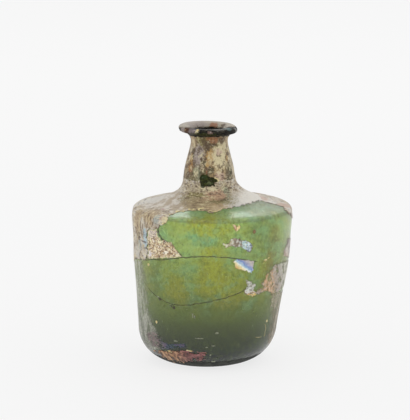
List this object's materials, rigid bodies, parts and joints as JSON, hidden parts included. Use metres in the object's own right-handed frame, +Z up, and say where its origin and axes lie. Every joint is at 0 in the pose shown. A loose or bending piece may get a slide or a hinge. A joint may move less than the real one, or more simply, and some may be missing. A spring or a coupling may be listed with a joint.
{
  "type": "glass bottle",
  "caption": "Squat blown-glass bottle with a rounded body, sloping shoulder, short flaring neck and thick disc lip; an open, empty vessel that stands on its own foot.",
  "frame": {"origin": "on the table, at the centre of the bottle's box, straight below the middle of its widest ring", "axes": "+Z up, along the bottle's height; the foot, neck and lip stand off centre towards -X; the side seen in the picture faces -Y"},
  "size_m": [0.0762, 0.0762, 0.1133],
  "materials": {
    "green_glass": "weathered, partly crusted, semi-gloss"
  },
  "bodies": {
    "root": {"bottle": "green_glass"}
  },
  "joints": []
}
